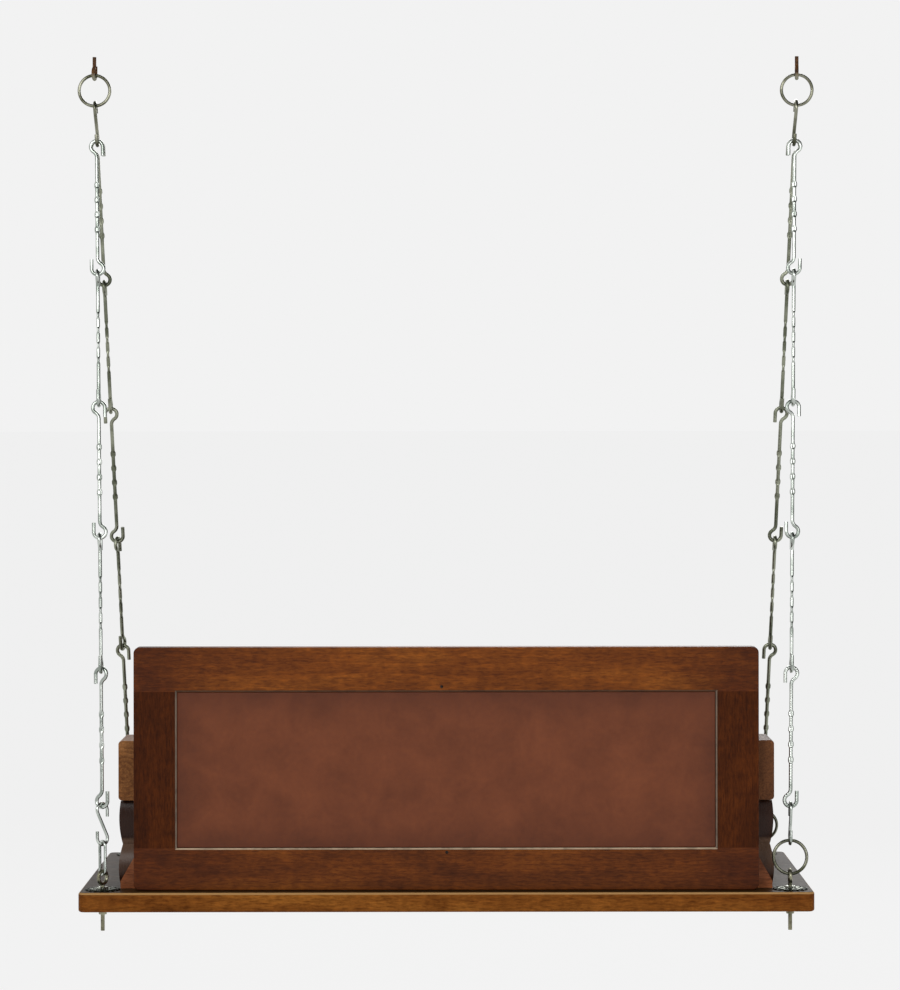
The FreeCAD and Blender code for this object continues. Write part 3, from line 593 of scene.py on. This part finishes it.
hook_bend = (hook_low + HOOK_BARE_UP_TO, hook_low + HOOK_RUSTED_FROM, HOOK_BARE)
rust = worn_metal("hook_rust", srgb(98, 60, 12), srgb(50, 28, 5), roughness=0.6, patch=120.0, metallic=0.2,
                  rough_spread=0.2, wear_and_sheen=hook_bend)
dark_steel = worn_metal("dark_screw_metal", srgb(52, 48, 44), srgb(24, 21, 19), roughness=0.4, patch=300.0)
for node in nodes:
    if node.startswith("ceiling_hook"):
        finish(node, rust)
    elif node.startswith(("top_ring", "top_link", "lower_ring")):
        finish(node, ring_plate)
    elif node in RIDGED_RODS:
        finish(node, bright_ridged if "rear" in node else olive_ridged)
    elif node.startswith(("rod_front", "s_hook_front", "oval_link_front")):
        finish(node, olive_rods)
    elif node.startswith(("rod_rear", "s_hook_rear", "oval_link_rear")):
        finish(node, bright_rods)
    elif node in ("eyebolts", "bolt_nuts", "bolt_washers"):
        finish(node, bolt_iron)
    elif node.endswith("_screws"):
        finish(node, dark_steel)


# Bolt threads: each eyebolt's shank is cut with a fine thread below its nut. A small
# triangle of iron is spun down round the shank, one turn to each pitch.
THREAD_PITCH = 0.0014
THREAD_DEEP = 0.0004
THREAD_SUNK = 0.0002
THREAD_HALF_RISE = 0.35
THREAD_STEPS = 18
SHANK_RADIUS = 0.00325


def parts_at_corners(node):
    """The boxes of a group's four pieces, one near each corner of the board."""
    boxes = []
    points = [vertex.co for vertex in nodes[node].data.vertices]
    middle_y = sum(point.y for point in points) / len(points)
    for way_x in (-1, 1):
        for way_y in (-1, 1):
            near = [point for point in points
                    if point.x * way_x > 0 and (point.y - middle_y) * way_y > 0]
            low = Vector(min(point[axis] for point in near) for axis in range(3))
            high = Vector(max(point[axis] for point in near) for axis in range(3))
            boxes.append((low, high))
    return boxes


THREAD_PROFILE = ((SHANK_RADIUS - THREAD_SUNK, THREAD_HALF_RISE), (SHANK_RADIUS + THREAD_DEEP, 0.0),
                  (SHANK_RADIUS - THREAD_SUNK, -THREAD_HALF_RISE))
thread_mesh = bmesh.new()
shank_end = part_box("eyebolts")[0][2]
for low, high in parts_at_corners("bolt_nuts"):
    centre = (low + high) / 2
    turns = int((low.z - shank_end) / THREAD_PITCH) - 1
    start = low.z - THREAD_PITCH
    line = [thread_mesh.verts.new((centre.x + out, centre.y, start + rise * THREAD_PITCH))
            for out, rise in THREAD_PROFILE]
    face = thread_mesh.faces.new(line)
    bmesh.ops.spin(thread_mesh, geom=[face] + list(face.verts) + list(face.edges),
                   cent=(centre.x, centre.y, start), axis=(0, 0, 1),
                   dvec=(0, 0, -THREAD_PITCH / THREAD_STEPS), steps=turns * THREAD_STEPS,
                   angle=turns * 2 * math.pi)
bmesh.ops.recalc_face_normals(thread_mesh, faces=thread_mesh.faces)
bolt_threads = settle("bolt_threads", thread_mesh)
bolt_threads.data.materials.append(bolt_iron)


# Rosettes: round plates cast with two rows of leaves and a beaded, scalloped edge. They
# are polished on the high spots and dark in the hollows; one lies under each bolt's eye.
ROSETTE_OUTER = 0.0299
ROSETTE_HOLE = 0.0036
ROSETTE_ROWS = 30
ROSETTE_STEPS = 128
LEAVES = 8
BEADS = 16
SCALLOP_DEPTH = 0.07
SCALLOP_FROM = 0.75
# Each ring of the relief: its height, the circle it follows and its half width.
BEAD_RING = (0.42, 0.91, 0.08)
GROOVE_RING = (-0.12, 0.83, 0.03)
OUTER_LEAVES = (0.42, 0.64, 0.19)
INNER_LEAVES = (0.45, 0.40, 0.16)
LEAF_SHARPNESS = 0.6
RIB_RING = (-0.10, 0.6, 0.2)
RIB_LINE = (1.0, 0.0, 0.12)
BOSS_HIGH = 0.78
BOSS_FOOT = 0.34
BOSS_SLOPE = 0.07
PLATE_RIM = 0.16
PLATE_RISE = 0.10
LEAST_HEIGHT = 0.1
MERGE_GAP = 1e-6


def ridge(share, high, middle, half_wide):
    """A ring that falls evenly on both sides of its circle."""
    return high * max(0.0, 1 - abs(share - middle) / half_wide)


def mound(share, high, middle, half_wide):
    """A ring that is rounded down on both sides of its circle."""
    return high * max(0.0, 1 - ((share - middle) / half_wide) ** 2)


def rosette_height(radius, angle, outer, tall):
    """The cast relief above the plate, in metres."""
    share = radius / outer
    on_leaf = abs(math.cos(LEAVES * angle / 2))
    between = abs(math.sin(LEAVES * angle / 2))
    bead = ridge(share, *BEAD_RING) * (0.5 + 0.5 * math.cos(BEADS * angle))
    groove = ridge(share, *GROOVE_RING)
    outer_leaf = mound(share, *OUTER_LEAVES) * on_leaf ** LEAF_SHARPNESS
    inner_leaf = mound(share, *INNER_LEAVES) * between ** LEAF_SHARPNESS
    rib = ridge(share, *RIB_RING) * ridge(between, *RIB_LINE)
    boss = BOSS_HIGH * max(0.0, min(1.0, (BOSS_FOOT - share) / BOSS_SLOPE))
    plate = PLATE_RIM + PLATE_RISE * (1 - share)
    return tall * max(LEAST_HEIGHT, plate + bead + groove + max(outer_leaf, inner_leaf) + rib + boss)


def rosette(mesh, centre, outer, hole, floor, tall):
    """One cast plate, spun from a radial line and then raised into its relief."""
    line = []
    for row in range(ROSETTE_ROWS + 1):
        radius = hole + (outer - hole) * row / ROSETTE_ROWS
        line.append(mesh.verts.new((centre[0] + radius, centre[1], floor)))
    edges = [mesh.edges.new(pair) for pair in zip(line, line[1:])]
    bmesh.ops.spin(mesh, geom=line + edges, cent=(*centre, floor), axis=(0, 0, 1), steps=ROSETTE_STEPS,
                   angle=2 * math.pi, use_merge=True)
    plate = [face for face in mesh.faces if not face.tag]
    lifted = bmesh.ops.extrude_face_region(mesh, geom=plate)["geom"]
    for vertex in (item for item in lifted if isinstance(item, bmesh.types.BMVert)):
        away = Vector((vertex.co.x - centre[0], vertex.co.y - centre[1]))
        angle = math.atan2(away.y, away.x)
        near_edge = min(1.0, max(0.0, away.length / outer - SCALLOP_FROM) / (1 - SCALLOP_FROM))
        scallop = 1 - SCALLOP_DEPTH * (0.5 - 0.5 * math.cos(BEADS * angle)) * near_edge
        vertex.co.x = centre[0] + away.x * scallop
        vertex.co.y = centre[1] + away.y * scallop
        vertex.co.z = floor + rosette_height(away.length, angle, outer, tall)
    for face in mesh.faces:
        face.tag = True


rosette_mesh = bmesh.new()
for low, high in parts_at_corners("rosettes"):
    middle = (low + high) / 2
    rosette(rosette_mesh, (middle.x, middle.y), ROSETTE_OUTER, ROSETTE_HOLE, low.z, high.z - low.z)
bmesh.ops.remove_doubles(rosette_mesh, verts=rosette_mesh.verts, dist=MERGE_GAP)
bmesh.ops.recalc_face_normals(rosette_mesh, faces=rosette_mesh.faces)
for face in rosette_mesh.faces:
    face.smooth = True
rosettes = settle("cast_rosettes", rosette_mesh, "rosettes")
SILVER_TONES = ((0.0, srgb(30, 32, 24)), (0.5, srgb(82, 86, 72)), (0.9, srgb(184, 187, 174)))
SILVER_LOW = 0.2
SILVER_HIGH = 0.85
SILVER_ROUGH = (0.5, 0.2)
CASTING_NOISE = (1200.0, 3.0, 0.6)
CASTING_RELIEF = (0.00003, 0.5)


def cast_silver(floor, tall):
    """Cast white metal, rubbed bright on its high spots and dark in the hollows."""
    metal = Shader("rosette_silver")
    height = metal.grey(metal.along("Z", floor), 0.0, 1.0, SILVER_LOW * tall, SILVER_HIGH * tall)
    metal.give("Base Color", metal.ramp(height, *SILVER_TONES))
    metal.give("Roughness", metal.grey(height, *SILVER_ROUGH))
    fine = metal.noise(metal.place(), *CASTING_NOISE)
    metal.give("Normal", metal.bump(fine, *CASTING_RELIEF))
    metal.give("Metallic", 1.0)
    return metal.material


rosette_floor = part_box("rosettes")[0][2]
rosettes.data.materials.append(cast_silver(rosette_floor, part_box("rosettes")[1][2] - rosette_floor))


# Stage: a pale floor well below the seat, soft lamps and a pale backdrop. Polished metal
# reflects the white backdrop beyond the swing, a bright room on its left, a dimmer one
# on the near side and a dark one on its right.
FLOOR_DROP = 0.55
FLOOR_HALF = 300.0
FLOOR_GLOW = 1.02
FLOOR_SEEN = 0.94
FLOOR_ROUGH = 0.9
BACKDROP = srgb(242, 242, 242)
floor_mesh = bmesh.new()
bmesh.ops.create_grid(floor_mesh, x_segments=1, y_segments=1, size=FLOOR_HALF)
bmesh.ops.translate(floor_mesh, verts=floor_mesh.verts, vec=(0, 0, cad_box[0][2] - FLOOR_DROP))
floor_data = bpy.data.meshes.new("floor")
floor_mesh.to_mesh(floor_data)
floor_mesh.free()
floor = bpy.data.objects.new("floor", floor_data)
bpy.context.collection.objects.link(floor)


def ray_share(tree, *kinds):
    """1 where a ray of one of the kinds meets the surface."""
    rays = tree.nodes.new("ShaderNodeLightPath")
    total = rays.outputs[kinds[0]]
    for name in kinds[1:]:
        step = tree.nodes.new("ShaderNodeMath")
        step.operation = "MAXIMUM"
        tree.links.new(total, step.inputs[0])
        tree.links.new(rays.outputs[name], step.inputs[1])
        total = step.outputs[0]
    return total


paper = Shader("floor_paper")
paper.give("Base Color", BACKDROP)
paper.give("Roughness", FLOOR_ROUGH)
glow = paper.add("ShaderNodeEmission", color=BACKDROP, strength=FLOOR_GLOW)
mix = paper.add("ShaderNodeMixShader")
seen = ray_share(paper.tree, "Is Camera Ray", "Is Glossy Ray", "Is Transmission Ray")
paper.join(paper.maths("MULTIPLY", seen, FLOOR_SEEN), mix.inputs[0])
paper.join(paper.surface.outputs[0], mix.inputs[1])
paper.join(glow.outputs[0], mix.inputs[2])
paper.join(mix.outputs[0], paper.tree.nodes["Material Output"].inputs["Surface"])
floor.data.materials.append(paper.material)

AMBIENT = 0.38
ROOM_RIGHT = 0.06
# Each wall: the axis it lies along, where it begins and is whole, and its brightness.
ROOM_WALLS = (("X", -0.3, -0.6, 0.9), ("Y", -0.55, -0.85, 0.45), ("Y", 0.55, 0.85, 1.0))
world = bpy.data.worlds.new("surround")
world.use_nodes = True
bpy.context.scene.world = world
tree = world.node_tree
sky = tree.nodes["Background"]
sky.inputs["Color"].default_value = BACKDROP


def strength_mix(share, first, second):
    """A level between two others; each is a number or another node's output."""
    node = tree.nodes.new("ShaderNodeMix")
    for socket, value in zip(("Factor", "A", "B"), (share, first, second)):
        if isinstance(value, float):
            node.inputs[socket].default_value = value
        else:
            tree.links.new(value, node.inputs[socket])
    return node.outputs["Result"]


direction = tree.nodes.new("ShaderNodeTexCoord")
split = tree.nodes.new("ShaderNodeSeparateXYZ")
tree.links.new(direction.outputs["Generated"], split.inputs["Vector"])
reflected = ROOM_RIGHT
for letter, begins, whole, brightness in ROOM_WALLS:
    toward = tree.nodes.new("ShaderNodeMapRange")
    toward.inputs["From Min"].default_value = begins
    toward.inputs["From Max"].default_value = whole
    tree.links.new(split.outputs[letter], toward.inputs["Value"])
    reflected = strength_mix(toward.outputs["Result"], reflected, brightness)
strength = strength_mix(ray_share(tree, "Is Glossy Ray", "Is Transmission Ray"), AMBIENT, reflected)
strength = strength_mix(ray_share(tree, "Is Camera Ray"), strength, 1.0)
tree.links.new(strength, sky.inputs["Strength"])

SEAT_MIDDLE = (0.0, 0.0, -1.1)
# Each lamp: its place, its size and its watts.
LAMPS = {
    "key_lamp": ((-1.8, -4.4, 1.2), 2.2, 89),
    "fill_lamp": ((2.6, -3.6, 0.2), 2.4, 44),
    "front_lamp": ((0.6, 4.2, 1.4), 2.4, 76),
}
for name, (spot, size, watts) in LAMPS.items():
    data = bpy.data.lights.new(name, "AREA")
    data.shape = "SQUARE"
    data.size = size
    data.energy = watts
    lamp = bpy.data.objects.new(name, data)
    bpy.context.collection.objects.link(lamp)
    lamp.location = spot
    lamp.rotation_euler = (Vector(SEAT_MIDDLE) - Vector(spot)).to_track_quat("-Z", "Y").to_euler()

bpy.context.scene.view_settings.view_transform = "Standard"
